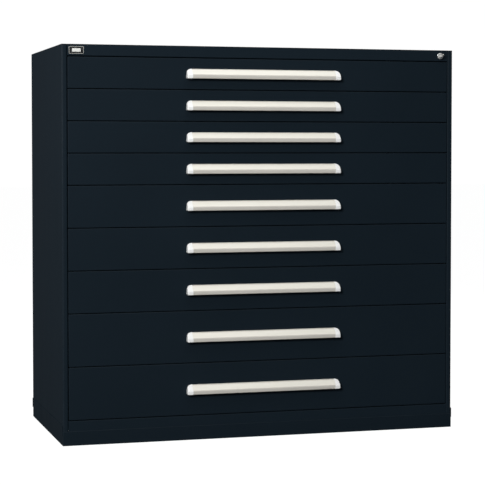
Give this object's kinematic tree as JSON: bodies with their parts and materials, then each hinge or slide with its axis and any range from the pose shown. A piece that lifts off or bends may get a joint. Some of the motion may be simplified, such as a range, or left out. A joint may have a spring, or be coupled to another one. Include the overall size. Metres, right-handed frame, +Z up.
{
  "type": "chest of drawers",
  "caption": "Wide sheet-steel tool chest with full-width drawers on roller slides, cream label pulls, a base and a key lock that holds every drawer shut.",
  "frame": {"origin": "on the floor, in the middle of the whole outline, with the pulls counted in the depth", "axes": "+X to the right of someone facing the drawers, +Y from the drawers towards the back, +Z up"},
  "size_m": [1.529, 0.731, 1.462],
  "materials": {
    "housing_paint": "fine-textured satin powder coat, blue-black",
    "drawer_paint": "fine-textured satin powder coat, blue-black",
    "base_paint": "fine-textured satin powder coat, blue-black",
    "drawer_box_paint": "satin powder coat with rubbed marks",
    "zinc_plated_steel": "bright zinc plating, faintly streaked",
    "handle_cream": "cream satin enamel on extruded aluminium",
    "handle_cap_white": "moulded white plastic",
    "label_paper": "blank label strip",
    "lock_chrome": "bright nickel-chrome plating",
    "key_nickel": "worn nickel plating",
    "plate_face": "dark enamelled plate with a pale frame, blank"
  },
  "bodies": {
    "cabinet": {"left_side_panel": "housing_paint", "right_side_panel": "housing_paint", "back_panel": "housing_paint", "top_panel": "housing_paint", "top_rail": "housing_paint", "floor_pan": "housing_paint", "base_frame": "base_paint", "base_front_cover": "base_paint", "name_plate": "plate_face", "left_slide_rack": "zinc_plated_steel", "right_slide_rack": "zinc_plated_steel", "lock_case": "lock_chrome"},
    "drawer_1": {"drawer_1_front": "drawer_paint", "drawer_1_box": "drawer_box_paint", "drawer_1_handle": "handle_cream"},
    "drawer_2": {"drawer_2_front": "drawer_paint", "drawer_2_box": "drawer_box_paint", "drawer_2_handle": "handle_cream"},
    "drawer_3": {"drawer_3_front": "drawer_paint", "drawer_3_box": "drawer_box_paint", "drawer_3_handle": "handle_cream"},
    "drawer_4": {"drawer_4_front": "drawer_paint", "drawer_4_box": "drawer_box_paint", "drawer_4_handle": "handle_cream"},
    "drawer_5": {"drawer_5_front": "drawer_paint", "drawer_5_box": "drawer_box_paint", "drawer_5_handle": "handle_cream"},
    "drawer_6": {"drawer_6_front": "drawer_paint", "drawer_6_box": "drawer_box_paint", "drawer_6_handle": "handle_cream"},
    "drawer_7": {"drawer_7_front": "drawer_paint", "drawer_7_box": "drawer_box_paint", "drawer_7_handle": "handle_cream"},
    "drawer_8": {"drawer_8_front": "drawer_paint", "drawer_8_box": "drawer_box_paint", "drawer_8_handle": "handle_cream"},
    "drawer_9": {"drawer_9_front": "drawer_paint", "drawer_9_box": "drawer_box_paint", "drawer_9_handle": "handle_cream"},
    "slides_1": {"drawer_1_slide_left": "zinc_plated_steel", "drawer_1_slide_right": "zinc_plated_steel"},
    "slides_2": {"drawer_2_slide_left": "zinc_plated_steel", "drawer_2_slide_right": "zinc_plated_steel"},
    "slides_3": {"drawer_3_slide_left": "zinc_plated_steel", "drawer_3_slide_right": "zinc_plated_steel"},
    "slides_4": {"drawer_4_slide_left": "zinc_plated_steel", "drawer_4_slide_right": "zinc_plated_steel"},
    "slides_5": {"drawer_5_slide_left": "zinc_plated_steel", "drawer_5_slide_right": "zinc_plated_steel"},
    "slides_6": {"drawer_6_slide_left": "zinc_plated_steel", "drawer_6_slide_right": "zinc_plated_steel"},
    "slides_7": {"drawer_7_slide_left": "zinc_plated_steel", "drawer_7_slide_right": "zinc_plated_steel"},
    "slides_8": {"drawer_8_slide_left": "zinc_plated_steel", "drawer_8_slide_right": "zinc_plated_steel"},
    "slides_9": {"drawer_9_slide_left": "zinc_plated_steel", "drawer_9_slide_right": "zinc_plated_steel"},
    "lock": {"lock_plug": "lock_chrome", "lock_key": "key_nickel"},
    "lock_bar": {"lock_bar": "zinc_plated_steel"}
  },
  "joints": [
    {"name": "drawer_1_travel", "type": "slide", "parent": "cabinet", "child": "drawer_1", "axis": [0, -1, 0], "range_m": [0, 0.6]},
    {"name": "slides_1_travel", "type": "slide", "parent": "cabinet", "child": "slides_1", "axis": [0, -1, 0], "range_m": [0, 0.3]},
    {"name": "drawer_2_travel", "type": "slide", "parent": "cabinet", "child": "drawer_2", "axis": [0, -1, 0], "range_m": [0, 0.6]},
    {"name": "slides_2_travel", "type": "slide", "parent": "cabinet", "child": "slides_2", "axis": [0, -1, 0], "range_m": [0, 0.3]},
    {"name": "drawer_3_travel", "type": "slide", "parent": "cabinet", "child": "drawer_3", "axis": [0, -1, 0], "range_m": [0, 0.6]},
    {"name": "slides_3_travel", "type": "slide", "parent": "cabinet", "child": "slides_3", "axis": [0, -1, 0], "range_m": [0, 0.3]},
    {"name": "drawer_4_travel", "type": "slide", "parent": "cabinet", "child": "drawer_4", "axis": [0, -1, 0], "range_m": [0, 0.6]},
    {"name": "slides_4_travel", "type": "slide", "parent": "cabinet", "child": "slides_4", "axis": [0, -1, 0], "range_m": [0, 0.3]},
    {"name": "drawer_5_travel", "type": "slide", "parent": "cabinet", "child": "drawer_5", "axis": [0, -1, 0], "range_m": [0, 0.6]},
    {"name": "slides_5_travel", "type": "slide", "parent": "cabinet", "child": "slides_5", "axis": [0, -1, 0], "range_m": [0, 0.3]},
    {"name": "drawer_6_travel", "type": "slide", "parent": "cabinet", "child": "drawer_6", "axis": [0, -1, 0], "range_m": [0, 0.6]},
    {"name": "slides_6_travel", "type": "slide", "parent": "cabinet", "child": "slides_6", "axis": [0, -1, 0], "range_m": [0, 0.3]},
    {"name": "drawer_7_travel", "type": "slide", "parent": "cabinet", "child": "drawer_7", "axis": [0, -1, 0], "range_m": [0, 0.6]},
    {"name": "slides_7_travel", "type": "slide", "parent": "cabinet", "child": "slides_7", "axis": [0, -1, 0], "range_m": [0, 0.3]},
    {"name": "drawer_8_travel", "type": "slide", "parent": "cabinet", "child": "drawer_8", "axis": [0, -1, 0], "range_m": [0, 0.6]},
    {"name": "slides_8_travel", "type": "slide", "parent": "cabinet", "child": "slides_8", "axis": [0, -1, 0], "range_m": [0, 0.3]},
    {"name": "drawer_9_travel", "type": "slide", "parent": "cabinet", "child": "drawer_9", "axis": [0, -1, 0], "range_m": [0, 0.6]},
    {"name": "slides_9_travel", "type": "slide", "parent": "cabinet", "child": "slides_9", "axis": [0, -1, 0], "range_m": [0, 0.3]},
    {"name": "lock_turn", "type": "hinge", "parent": "cabinet", "child": "lock", "pos_m": [0.711, -0.3395, 1.44], "axis": [0, -1, 0], "range_deg": [0, 90]},
    {"name": "lock_bar_lift", "type": "slide", "parent": "cabinet", "child": "lock_bar", "axis": [0, 0, 1], "range_m": [0, 0.006]}
  ],
  "couplings": [
    {"joint": "slides_1_travel", "follows": "drawer_1_travel", "ratio": 0.5},
    {"joint": "slides_2_travel", "follows": "drawer_2_travel", "ratio": 0.5},
    {"joint": "slides_3_travel", "follows": "drawer_3_travel", "ratio": 0.5},
    {"joint": "slides_4_travel", "follows": "drawer_4_travel", "ratio": 0.5},
    {"joint": "slides_5_travel", "follows": "drawer_5_travel", "ratio": 0.5},
    {"joint": "slides_6_travel", "follows": "drawer_6_travel", "ratio": 0.5},
    {"joint": "slides_7_travel", "follows": "drawer_7_travel", "ratio": 0.5},
    {"joint": "slides_8_travel", "follows": "drawer_8_travel", "ratio": 0.5},
    {"joint": "slides_9_travel", "follows": "drawer_9_travel", "ratio": 0.5},
    {"joint": "lock_turn", "follows": "lock_bar_lift", "rad_per_m": 261.8}
  ]
}
